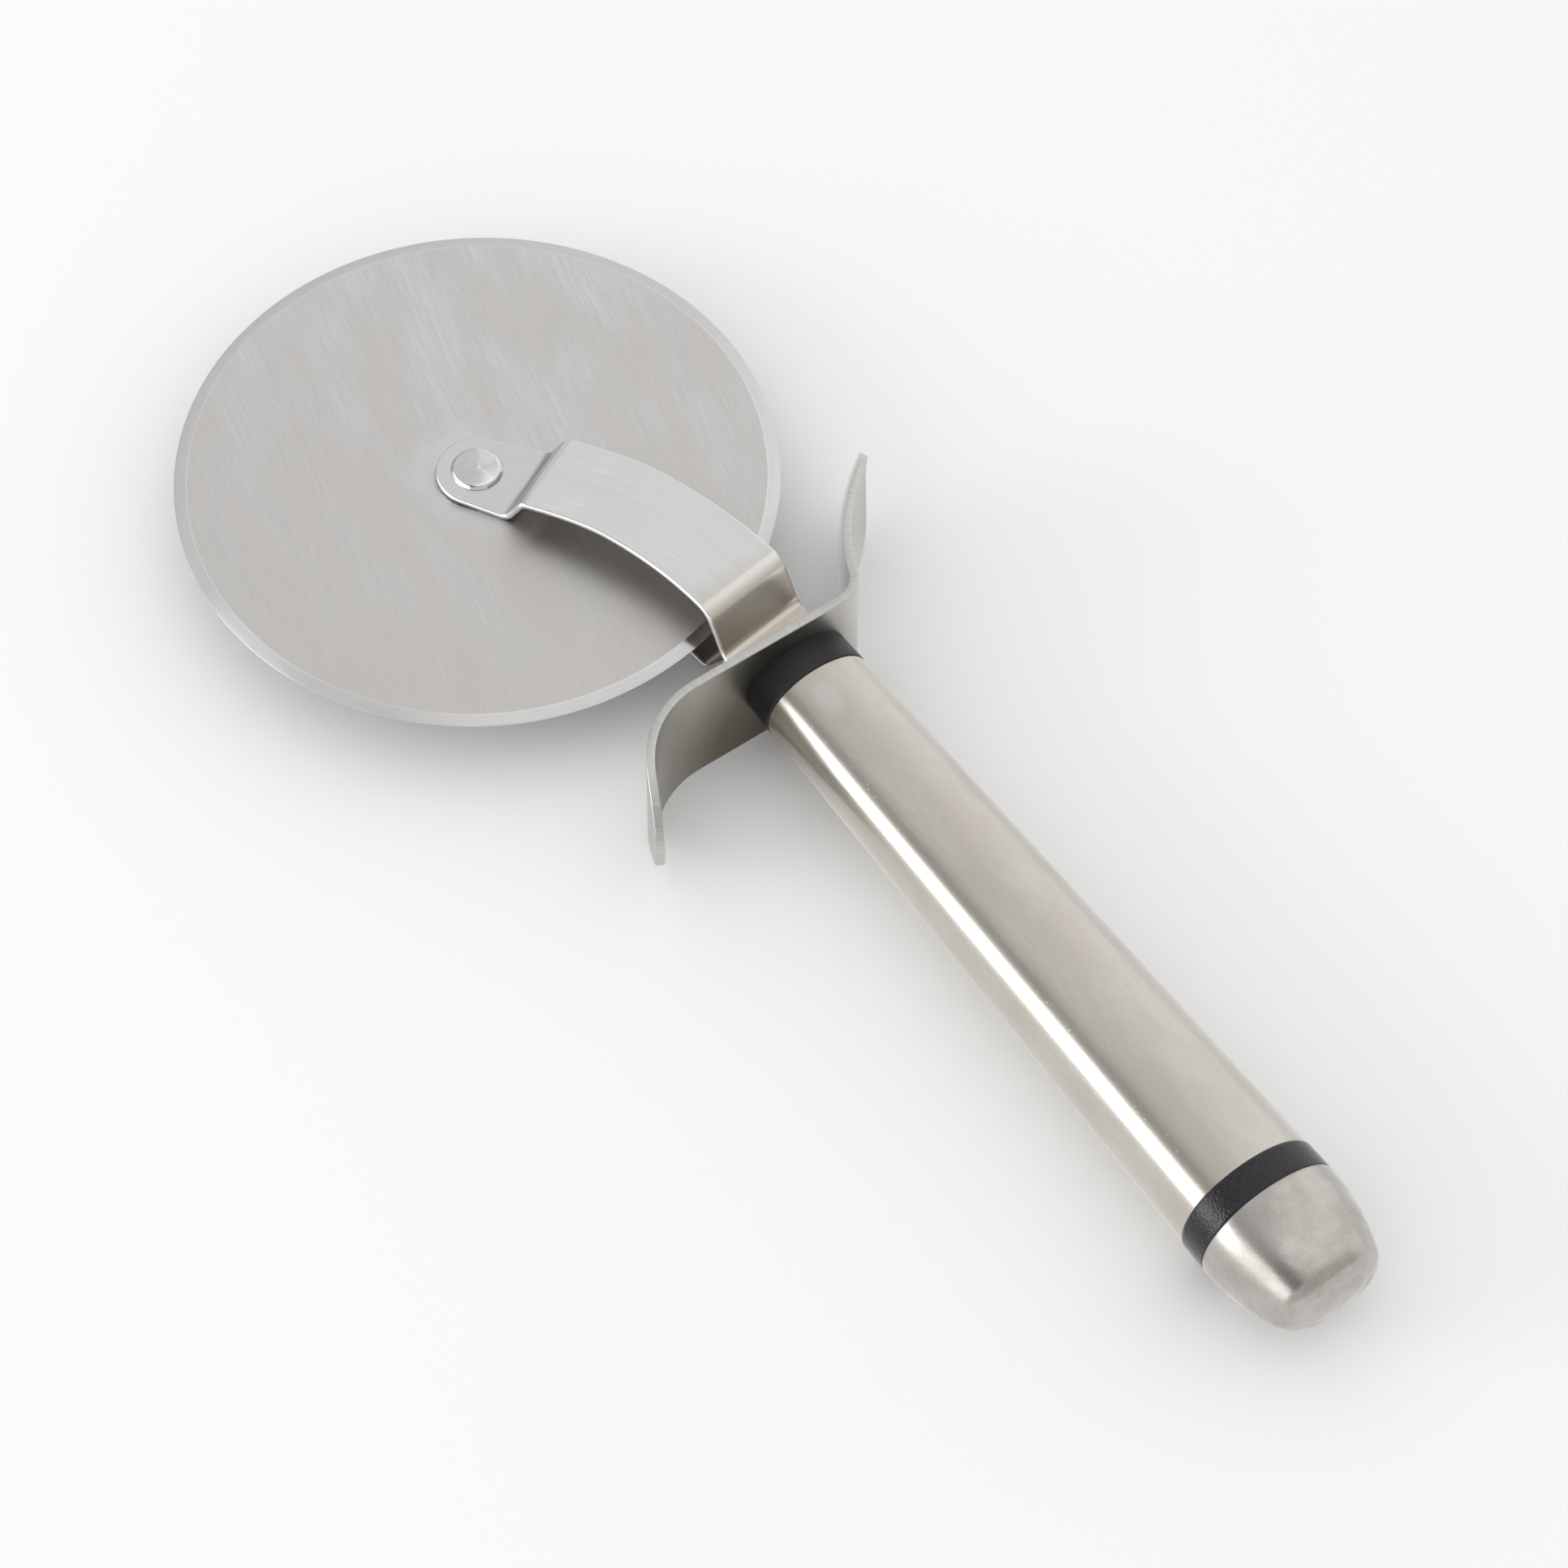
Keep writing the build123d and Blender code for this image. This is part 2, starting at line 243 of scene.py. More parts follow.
def noise(tree, size, turn=0.0, detail=2.0, roughness=0.5, seed=(0.0, 0.0, 0.0), by_grain=False):
    """Smooth noise, about 0.3 to 0.7. Its cells measure size along three axes, of which the first two are
    turned by an angle about Z, so a long cell draws the noise into streaks. It lies on Object coordinates,
    or by_grain on the piece's own places across and along its grain."""
    if by_grain:
        place = add(tree, "ShaderNodeUVMap", uv_map="across_grain").outputs[0]
    else:
        place = add(tree, "ShaderNodeTexCoord").outputs["Object"]
    laid = {"Vector": place, "Location": seed, "Rotation": (0, 0, turn), "Scale": size}
    mapped = add(tree, "ShaderNodeMapping", laid, vector_type="TEXTURE").outputs[0]
    made = {"Vector": mapped, "Scale": 1.0, "Detail": detail, "Roughness": roughness}
    return add(tree, "ShaderNodeTexNoise", made).outputs[0]


def nearness(tree, centre, size, full, none):
    """A soft spot on Object coordinates: 1 up to the share full of its half-sizes from its centre, and 0
    from the share none."""
    place = add(tree, "ShaderNodeTexCoord").outputs["Object"]
    laid = {"Vector": place, "Location": centre, "Scale": size}
    mapped = add(tree, "ShaderNodeMapping", laid, vector_type="TEXTURE").outputs[0]
    length = add(tree, "ShaderNodeVectorMath", (mapped,), operation="LENGTH").outputs["Value"]
    return spread(tree, length, full, none, 1.0, 0.0)


def share_of(tree, value, share):
    """A value times a plain number."""
    return maths(tree, "MULTIPLY", value, share)


def raise_grain(tree, shader, height, depth):
    """Lets a height on the surface, times a depth, turn the shader's normals."""
    raised = add(tree, "ShaderNodeBump", {"Strength": 1.0, "Distance": depth, "Height": height})
    tree.links.new(raised.outputs[0], shader.inputs["Normal"])


def new_material(name):
    """An empty material with one shader joined to its output, as (material, tree, shader)."""
    made = bpy.data.materials.new(name)
    made.use_nodes = True
    tree = made.node_tree
    tree.nodes.clear()
    shader = add(tree, "ShaderNodeBsdfPrincipled")
    output = add(tree, "ShaderNodeOutputMaterial")
    tree.links.new(shader.outputs[0], output.inputs["Surface"])
    return made, tree, shader


def steel(tree, shader, colour, roughness, anisotropy=0.0, height=None, depth=0.0):
    """Joins a steel's colour, roughness and, where its grain is raised, its height to its shader. The
    highlight of a steel with anisotropy is drawn out across the grain."""
    tree.links.new(colour, shader.inputs["Base Color"])
    shader.inputs["Metallic"].default_value = 1.0
    tree.links.new(roughness, shader.inputs["Roughness"])
    if anisotropy:
        shader.inputs["Anisotropic"].default_value = anisotropy
        tangent = add(tree, "ShaderNodeTangent", direction_type="UV_MAP", uv_map="across_grain")
        tree.links.new(tangent.outputs[0], shader.inputs["Tangent"])
    if height is not None:
        raise_grain(tree, shader, height, depth)


def closed_piece(name, points, across, materials, body, stands_for, numbers=None):
    """One closed piece from a grid of points, rows by columns. Rows or columns that meet are welded, which
    closes seams and poles, and the faces are turned outwards. across holds each point's place across and
    along the grain. numbers gives each face of the grid its material's number."""
    rows, columns = points.shape[:2]
    index = np.arange(rows * columns).reshape(rows, columns)
    quads = np.stack([index[:-1, :-1], index[1:, :-1], index[1:, 1:], index[:-1, 1:]], -1)
    quads = quads.reshape(-1, 4)
    mesh = bpy.data.meshes.new(name)
    mesh.from_pydata(points.reshape(-1, 3).tolist(), [], quads.tolist())
    grain = mesh.uv_layers.new(name="across_grain")
    grain.data.foreach_set("uv", across.reshape(-1, 2)[quads.ravel()].astype(np.float32).ravel())
    if numbers is not None:
        numbers = np.broadcast_to(numbers, (rows - 1, columns - 1))
        mesh.polygons.foreach_set("material_index", numbers.ravel().astype(np.int32))
    made = bmesh.new()
    made.from_mesh(mesh)
    bmesh.ops.remove_doubles(made, verts=made.verts, dist=weld)
    bmesh.ops.dissolve_degenerate(made, edges=made.edges, dist=weld / 2)
    bmesh.ops.holes_fill(made, edges=made.edges, sides=0)
    bmesh.ops.recalc_face_normals(made, faces=made.faces)
    made.to_mesh(mesh)
    made.free()
    mesh.shade_smooth()
    for one in materials:
        mesh.materials.append(one)
    piece = bpy.data.objects.new(name, mesh)
    bpy.context.scene.collection.objects.link(piece)
    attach(piece, body)
    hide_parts(stands_for)


def bent_line(corners, radii, arc_steps=24):
    """A bent line: straight runs between corners, each inner corner rounded by an arc of its radius."""
    corners = np.array(corners, float)
    runs = [corners[:1]]
    for before, corner, after, radius in zip(corners[:-2], corners[1:-1], corners[2:], radii):
        back = (before - corner) / np.linalg.norm(before - corner)
        on = (after - corner) / np.linalg.norm(after - corner)
        half_angle = math.acos(float(back @ on)) / 2
        middle = (back + on) / np.linalg.norm(back + on)
        centre = corner + middle * radius / math.sin(half_angle)
        start = corner + back * radius / math.tan(half_angle) - centre
        end = corner + on * radius / math.tan(half_angle) - centre
        share = np.linspace(0, 1, arc_steps)[:, None]
        sweep = math.pi - 2 * half_angle
        arc = (np.sin((1 - share) * sweep) * start + np.sin(share * sweep) * end) / math.sin(sweep)
        runs.append(centre + arc)
    return np.concatenate([*runs, corners[-1:]])


def rim_profile(half_thickness, rim, power, rim_steps=7):
    """A sheet's rim cut across, as (distance in from the outline, offset from the middle) columns: from the
    top face round the rim to the bottom face, with a support column beside each rounding. The rounding is
    the curve a^p + b^p = 1, a quarter circle at a power of 2 and nearer a chamfer below it."""
    turn = np.linspace(0, math.pi / 2, rim_steps)
    inward = rim * (1 - np.sin(turn) ** (2 / power))
    offset = half_thickness - rim * (1 - np.cos(turn) ** (2 / power))
    inward = np.concatenate([[rim + rim_support], inward])
    offset = np.concatenate([[half_thickness], offset])
    return np.concatenate([inward, inward[::-1]]), np.concatenate([offset, -offset[::-1]])


def sheet_grid(outline, spine, lay, thickness, rim, power, rows_across):
    """A piece of sheet as a closed grid. Straight lines run from the spine to the outline on the top face,
    round the rim and back to the spine underneath. lay carries flat points and offsets to their places.
    The last thing returned numbers the columns' faces: 0 on the top face, 1 round the rim, 2 underneath."""
    width = np.linalg.norm(outline - spine, axis=1)[:, None]
    outward = (outline - spine) / width
    inward, offset = rim_profile(thickness / 2, rim, power)
    share = np.linspace(0, 1, rows_across + 1)[None, :-1]
    top = width + (inward[0] - width) * share
    inward = np.concatenate([top, np.repeat(inward[None], len(width), 0), top[:, ::-1]], 1)
    half = np.full(top.shape[1], thickness / 2)
    offset = np.concatenate([half, offset, -half])
    flat = outline[:, None] - outward[:, None] * inward[..., None]
    face_columns = rows_across + 1
    numbers = np.repeat([0, 1, 2], [face_columns, len(offset) - 1 - 2 * face_columns, face_columns])
    return flat, lay(flat, np.broadcast_to(offset, flat.shape[:2])), numbers


# Wheel: a flat disc whose rim is ground to an edge on both sides, as a profile turned about the axle


def turned_grid(profile, angles):
    """A profile of (radius, height) points turned about the axle. The turn starts under the arms."""
    turn = seam_heading + np.linspace(0, 2 * math.pi, angles + 1)[None]
    radius, height = profile[:, 0, None], profile[:, 1, None]
    x = axle_x + radius * np.cos(turn)
    y = axle_y + radius * np.sin(turn)
    return np.stack([x, y, mid_height + height + 0 * turn], -1), turn + 0 * radius


def make_wheel(face_steel, ground_steel):
    """The wheel's profile runs from its bore over the top face, down the bevel, round the edge and back.
    The crease stands in it twice, once with the places across the face's brushing and once with those
    across the bevel's rings."""
    bevel_start = wheel_radius - bevel_width
    fall = crease * (wheel_half - edge_half) / bevel_width
    rings = np.linspace(first_face_ring, bevel_start - crease, face_rings)
    face = [bore_radius, *rings, bevel_start]
    top = [(radius, wheel_half) for radius in [*face, bevel_start]]
    top += [(bevel_start + crease, wheel_half - fall), (wheel_radius - crease, edge_half + fall)]
    top += [(wheel_radius, edge_half * edge_nose)]
    profile = np.array(top)
    profile = np.concatenate([profile, profile[::-1] * (1, -1), profile[:1]])
    points, turn = turned_grid(profile, turned_angles)
    x, y = points[..., 0] - axle_x, points[..., 1] - axle_y
    numbers = ((profile[:-1, 0] + profile[1:, 0]) / 2 > bevel_start)[:, None]
    cosine, sine = math.cos(brushing_turn), math.sin(brushing_turn)
    brushed = np.stack([y * cosine - x * sine, x * cosine + y * sine], -1)
    ground = np.stack([np.hypot(x, y), turn * wheel_radius], -1)
    row = np.arange(len(profile))
    on_face = (row < len(face)) | (row >= len(profile) - 1 - len(face))
    across = np.where(on_face[:, None, None], brushed, ground)
    finishes = [face_steel, ground_steel]
    closed_piece("wheel_disc", points, across, finishes, "wheel", "cutting_wheel", numbers)


# Rivet: a low cone on a short rim at both ends of the shank


def make_rivet(finish):
    """The rivet's profile runs from the tip of one head over its cone and rim, along the shank and back.
    The cone bulges by a share of its rise times s (1 - s), where s is the share of the way down it. The
    points of tip and rim round its corners by shares of its chamfer and of its edge."""
    head_top = (rivet_high.z - rivet_low.z) / 2
    rim_top = head_top - head_rise
    seat = rim_top - head_rim_height
    cone = np.linspace(0, 1, cone_rows)[:, None]
    start = np.array([[head_tip_radius, head_top - head_edge * 0.5]])
    end = np.array([[head_radius - head_chamfer, rim_top + head_edge]])
    bulge = np.array([[0, 1]]) * (cone * (1 - cone) * head_rise * cone_bulge)
    tip = [[0, head_top], [head_tip_radius * 0.5, head_top - head_edge * 0.15]]
    rim = [
        [head_radius - head_chamfer * 0.85, rim_top + head_edge * 0.6],
        [head_radius - head_chamfer * 0.7, rim_top],
        [head_radius - head_edge * 0.6, rim_top - head_chamfer * 0.7],
        [head_radius - head_edge * 0.1, rim_top - head_chamfer * 0.85],
        [head_radius, seat + head_edge],
        [head_radius - head_edge * 0.5, seat],
    ]
    shank = [[shank_radius + head_edge, seat], [shank_radius, seat - head_edge]]
    top = np.concatenate([tip, start + (end - start) * cone + bulge, rim, shank])
    profile = np.concatenate([top, top[::-1] * (1, -1)])
    points, turn = turned_grid(profile, turned_angles // 2)
    run = np.concatenate([[0], np.cumsum(np.linalg.norm(np.diff(profile, axis=0), axis=1))])
    across = np.stack([run[:, None] + 0 * turn, turn * head_radius], -1)
    closed_piece("rivet", points, across, [finish], "handle", "axle_rivet")


# Arms: one bent strap, laid over its plan outline, and the same strap turned over


def arm_spine():
    """The middle line of the strap in plan: out from the axle along the tab's heading, a long arc into line
    with the handle, and straight on to the end of the tang. Returns stations, points, the direction to the
    thumb rest's side, and how far the strap reaches to that side and to the finger guard's."""
    axle = np.array([axle_x, axle_y])
    first = np.array([math.cos(tab_heading), math.sin(tab_heading)])
    straight = (-axle_y - sweep_radius * (1 - math.cos(tab_heading))) / math.sin(tab_heading)
    turn_point = axle + first * straight
    arc_end = turn_point[0] + sweep_radius * math.sin(tab_heading)
    sweep = sweep_radius * tab_heading
    tang_end = tang_length - guard_thickness / 2
    length = straight + sweep + tang_end - arc_end
    station = np.arange(0, length, arm_station)
    shoulder = straight + sweep - guard_thickness / 2 - arc_end
    fixed = [shoulder - shoulder_station, shoulder, length - tang_corner, length]
    station = np.sort(np.concatenate([station, fixed]))
    angle = tab_heading - np.clip(station - straight, 0, sweep) / sweep_radius
    on_arc = np.stack([-np.sin(angle), np.cos(angle)], 1) * sweep_radius + (arc_end, -sweep_radius)
    before = axle + first * station[:, None]
    after = np.stack([arc_end + station - straight - sweep, 0 * station], 1)
    place = np.where(station[:, None] < straight + sweep, on_arc, after)
    place = np.where(station[:, None] < straight, before, place)
    knots = [0, straight, straight + sweep, shoulder - shoulder_knot, shoulder]
    knots += [length - tang_corner, length]
    tang = [tang_half_width, tang_half_width, tang_half_width - tang_corner]
    thumb_side = np.interp(station, knots, [tab_radius, *[thumb_side_reach] * 3, *tang])
    finger_side = np.interp(station, knots, [tab_radius, step_side_reach, *[finger_side_reach] * 2, *tang])
    left = np.stack([-np.sin(angle), np.cos(angle)], 1)
    return station, place, left, thumb_side, finger_side


def arm_height(flat):
    """The strap's height over the wheel's middle and its slope, at points in plan. One bent line gives the
    tab, step and crown along the step's heading; another gives the drop to the tang."""
    tab_level = arm_gap + arm_thickness / 2
    step_level = step_height - arm_thickness / 2
    crown_level = crown_height - arm_thickness / 2
    tang_level = arm_thickness / 2
    far = 200 * mm
    rise = bent_line(
        [
            (-far, tab_level),
            (step_foot, tab_level),
            (step_foot + step_run, step_level),
            (step_foot + step_run + crown_rise_run, crown_level),
            (far, crown_level),
        ],
        [step_bend_radius, step_bend_radius, crown_radius],
    )
    drop = bent_line(
        [(-far, crown_level), (0, crown_level), (drop_run, tang_level), (far, tang_level)],
        [drop_bend_radius, foot_bend_radius],
    )
    place = arm_spine()[1]
    drop_place = np.array([-drop_reach, np.interp(-drop_reach, place[:, 0], place[:, 1])])
    height = -crown_level + np.zeros(flat.shape[:-1])
    slope = np.zeros(flat.shape)
    bends = ((rise, (axle_x, axle_y), step_heading), (drop, drop_place, drop_heading))
    for line, origin, heading in bends:
        along = np.array([math.cos(heading), math.sin(heading)])
        run = (flat - origin) @ along
        height = height + np.interp(run, line[:, 0], line[:, 1])
        steep = np.gradient(line[:, 1], line[:, 0])
        slope = slope + np.interp(run, line[:, 0], steep)[..., None] * along
    return height, slope


def lay_arm(flat, offset):
    """Plan points lifted to the strap's height, then moved off it by the offset along its normal."""
    height, slope = arm_height(flat)
    normal = np.concatenate([-slope, np.ones(slope.shape[:-1] + (1,))], -1)
    normal = normal / np.linalg.norm(normal, axis=-1, keepdims=True)
    middle = np.concatenate([flat, (mid_height + height)[..., None]], -1)
    return middle + normal * offset[..., None]


def arm_grid():
    """The strap's outline and its spine as one closed run: the left side back to the tab, round the tab,
    the right side, and across the tang's end. Also each point's place across and along the strap."""
    station, place, left, thumb_side, finger_side = arm_spine()
    tab_turn = np.linspace(math.pi / 2, 3 * math.pi / 2, tab_columns)[1:-1] + tab_heading
    tab = place[0] + tab_radius * np.stack([np.cos(tab_turn), np.sin(tab_turn)], 1)
    left_side = place + left * thumb_side[:, None]
    right_side = place - left * finger_side[:, None]
    end_share = np.linspace(0, 1, tang_end_columns)[1:, None]
    end_run = right_side[-1] + (left_side[-1] - right_side[-1]) * end_share
    in_fan = station > station[-1] - tang_fan
    spine = np.where(in_fan[:, None], place[~in_fan][-1], place)
    outline = np.concatenate([left_side[::-1], tab, right_side, end_run])
    spines = np.concatenate([spine[::-1], 0 * tab + place[0], spine, 0 * end_run + spine[-1]])
    along = np.concatenate([station[::-1], 0 * tab_turn, station, 0 * end_share[:, 0] + station[-1]])
    flat, points, numbers = sheet_grid(
        outline, spines, lay_arm, arm_thickness, arm_rim, arm_rim_power, arm_rows_across
    )
    side = np.concatenate([left[::-1], 0 * tab + left[0], left, 0 * end_run + left[-1]])
    across = ((flat - spines[:, None]) * side[:, None]).sum(-1)
    return points, np.stack([across, along[:, None] + 0 * across], -1), numbers


def make_arms(outside, rim, inside):
    """The upper strap, and the lower one as its mirror image under the wheel's middle."""
    points, across, numbers = arm_grid()
    finishes = [outside, rim, inside]
    closed_piece("arm_upper", points, across, finishes, "handle", "upper_arm", numbers)
    turned = points * (1, 1, -1) + (0, 0, 2 * mid_height)
    closed_piece("arm_lower", turned, across, finishes, "handle", "lower_arm", numbers)


# Guard: one strip bent along its length into finger guard and thumb rest


def guard_path():
    """The strip's middle line in plan, as stations, points and headings: from the finger tip, through the
    wide bend and the middle, round the tight bend and along the thumb rest's gentle back curve."""
    # Seen from above, the wide bend turns right, the tight bend left, and the thumb rest right again.
    runs = [
        (finger_tip_length, 0.0),
        (finger_bend_radius * finger_bend_angle, -finger_bend_angle),
        (finger_flat + thumb_flat, 0.0),
        (thumb_bend_radius * thumb_bend_angle, thumb_bend_angle),
        (thumb_curve_radius * thumb_curve_angle, -thumb_curve_angle),
    ]
    lengths, turns = np.array(runs).T
    knots = np.concatenate([[0], np.cumsum(lengths)])
    start_heading = math.pi / 2 + finger_bend_angle
    headings = start_heading + np.concatenate([[0], np.cumsum(turns)])
    station = np.linspace(0, knots[-1], guard_path_points)
    heading = np.interp(station, knots, headings)
    step = np.diff(station)
    middle = (heading[1:] + heading[:-1]) / 2
    x = np.concatenate([[0], np.cumsum(step * np.cos(middle))])
    y = np.concatenate([[0], np.cumsum(step * np.sin(middle))])
    origin = knots[2] + finger_flat
    x = x - np.interp(origin, station, x)
    y = y - np.interp(origin, station, y)
    return station - origin, x, y, heading


def lay_guard(flat, offset):
    """Points on the flat strip, as (station, height), carried round its bends. On the thumb rest the
    edges stand back from the middle by the bow times the square of the height's share, and the bow grows
    along the rest as the smooth step of its share."""
    station, x, y, heading = guard_path()
    run, height = flat[..., 0], flat[..., 1]
    turn = np.interp(run, station, heading)
    back = np.stack([np.sin(turn), -np.cos(turn)], -1)
    rest_start = thumb_flat + thumb_bend_radius * thumb_bend_angle
    share = np.clip((run - rest_start) / (thumb_curve_radius * thumb_curve_angle), 0, 1)
    bow = thumb_bow * share**2 * (3 - 2 * share)
    lean = np.arctan(2 * bow * height / mid_height**2)
    level = bow * (height / mid_height) ** 2 + offset * np.cos(lean)
    plan = np.stack([np.interp(run, station, x), np.interp(run, station, y)], -1)
    plan = plan + back * level[..., None]
    raised = np.clip(height - offset * np.sin(lean), -mid_height, mid_height)
    return np.concatenate([plan, (mid_height + raised)[..., None]], -1)


def make_guard(rear, rim, front):
    """The strip's outline runs along its top, round the thumb rest's half oval, back along its bottom and
    round the finger guard's half oval. Its spine is its middle line between the two ovals' centres."""
    station = guard_path()[0]
    finger_centre = station[0] + finger_taper_length
    thumb_centre = station[-1] - thumb_taper_length
    half = mid_height
    columns = int((thumb_centre - finger_centre) / guard_station)
    straight = np.linspace(finger_centre, thumb_centre, columns)
    turn = np.linspace(math.pi / 2, -math.pi / 2, half_oval_columns)[1:-1]
    thumb = np.stack([thumb_centre + thumb_taper_length * np.cos(turn), half * np.sin(turn)], 1)
    finger = np.stack([finger_centre - finger_taper_length * np.cos(turn), -half * np.sin(turn)], 1)
    top = np.stack([straight, half + 0 * straight], 1)
    bottom = np.stack([straight[::-1], -half + 0 * straight], 1)
    outline = np.concatenate([top, thumb, bottom, finger, top[:1]])
    thumb_spine = 0 * thumb + (thumb_centre, 0)
    finger_spine = 0 * finger + (finger_centre, 0)
    spine = np.concatenate([top, thumb_spine, bottom, finger_spine, top[:1]])
    spine[:, 1] = 0
    flat, points, numbers = sheet_grid(
        outline, spine, lay_guard, guard_thickness, guard_rim, guard_rim_power, guard_rows_across
    )
    across = flat[..., ::-1]
    finishes = [rear, rim, front]
    closed_piece("guard", points, across, finishes, "handle", "finger_guard", numbers)


# Handle: ovals of one family, carried along the handle's axis


def grip_half(x):
    """The half-width and half-height of the handle at a station: straight from the guard to the cap."""
    share = (x - guard_thickness / 2) / (cap_low.x - guard_thickness / 2)
    width = front_half_width + (rear_half_width - front_half_width) * share
    return width, front_half_height + (rear_half_height - front_half_height) * share


def oval_grid(x, width, height):
    """Ovals with these half-sizes at these stations. Each is the curve (y/width)^p + (z/height)^p = 1, a
    little squarer than an ellipse."""
    turn = np.linspace(0, 2 * math.pi, handle_angles + 1)[None]
    cosine, sine = np.cos(turn), np.sin(turn)
    y = width[:, None] * np.sign(cosine) * np.abs(cosine) ** (2 / oval_power)
    z = height[:, None] * np.sign(sine) * np.abs(sine) ** (2 / oval_power)
    points = np.stack([x[:, None] + 0 * y, y, mid_height + z], -1)
    across = np.stack([x[:, None] + 0 * y, turn * rear_half_width + 0 * y], -1)
    return points, across


def rounded_shell(start, end, proud, wall, rim, rows):
    """A shell's profile as (station, inset from the grip's skin): out along the skin, round the far end's
    rim, back inside and round the near end's rim. Support rows stand 1.5 and 3 rim radii from its ends."""
    turn = np.linspace(0, math.pi / 2, shell_rim_rows)
    back, inset = rim * (1 - np.sin(turn)), rim * (1 - np.cos(turn)) - proud
    near = np.stack([start + back, inset], 1)[::-1]
    far = np.stack([end - back, inset], 1)
    between = np.linspace(start + rim * 3, end - rim * 3, rows)
    skin_x = np.concatenate([[start + rim * 1.5], between, [end - rim * 1.5]])
    skin = np.stack([skin_x, 0 * skin_x - proud], 1)
    inner = np.array([[end, wall], [start, wall]])
    return np.concatenate([near, skin, far, inner, near[:1]])


def make_shell(name, start, end, proud, wall, rim, rows, material, slot, stands_for):
    """A tube or ring of the handle as a closed shell. The ovals along its profile are as large as the grip
    is at their stations, less the profile's inset."""
    profile = rounded_shell(start, end, proud, wall, rim, rows)
    width, height = grip_half(profile[:, 0])
    points, across = oval_grid(profile[:, 0], width - profile[:, 1], height - profile[:, 1])
    closed_piece(name, points, across, [material], "handle", stands_for)


def make_ring(name, start, end, plastic, stands_for):
    """A moulded ring, which stands a little proud of the grip's skin."""
    looks = (plastic, "ring_plastic", stands_for)
    make_shell(name, start, end, ring_shoulder, ring_wall, ring_rim, ring_rows, *looks)


def make_cap(finish):
    """The cap's skin draws in by the square of its length's share, rounds over an arc that leaves it
    smoothly, and ends in a face with a very low dome. Inside, a plain hollow follows the skin."""
    length = cap_high.x - cap_low.x
    share = np.linspace(0, 1, cap_side_rows)
    side = np.stack([cap_low.x + length * share, cap_taper * share**2 - cap_lip], 1)
    lean = np.arctan(2 * cap_taper * share / length)
    centre = side + cap_round * np.stack([-np.sin(lean), np.cos(lean)], 1)
    face_x = cap_high.x - cap_dome
    meet = int(np.argmin(np.abs(centre[:, 0] + cap_round - face_x)))
    turn = np.linspace(lean[meet], math.pi / 2, cap_round_rows)[1:]
    arc = centre[meet] + cap_round * np.stack([np.sin(turn), -np.cos(turn)], 1)
    skin = np.concatenate([side[: meet + 1], arc])
    width = rear_half_width - skin[:, 1]
    height = rear_half_height - skin[:, 1]
    shrink = np.linspace(1, 0, cap_face_rows)[1:]
    face = face_x + cap_dome * (1 - shrink**2)
    inner_share = np.array(cap_hollow_shares)
    inner_x = cap_low.x + length * inner_share
    inner_draw = cap_taper * inner_share**2 + cap_wall
    x = np.concatenate([[cap_low.x, cap_low.x], skin[1:, 0], face])
    start_width = np.array([width[0] - cap_rim, width[0] - cap_rim * 0.3])
    start_height = np.array([height[0] - cap_rim, height[0] - cap_rim * 0.3])
    full_width = np.concatenate([start_width, width[1:], width[-1] * shrink])
    full_height = np.concatenate([start_height, height[1:], height[-1] * shrink])
    hollow_x = np.concatenate([[inner_x[0]], inner_x, [cap_low.x]])
    hollow_width = np.concatenate([[0], rear_half_width - inner_draw, start_width[:1]])
    hollow_height = np.concatenate([[0], rear_half_height - inner_draw, start_height[:1]])
    outer = oval_grid(x, full_width, full_height)
    hollow = oval_grid(hollow_x, hollow_width, hollow_height)
    points = np.concatenate([hollow[0], outer[0]])
    across = np.concatenate([hollow[1], outer[1]])
    closed_piece("cap", points, across, [finish], "handle", "end_cap")


# Finishes


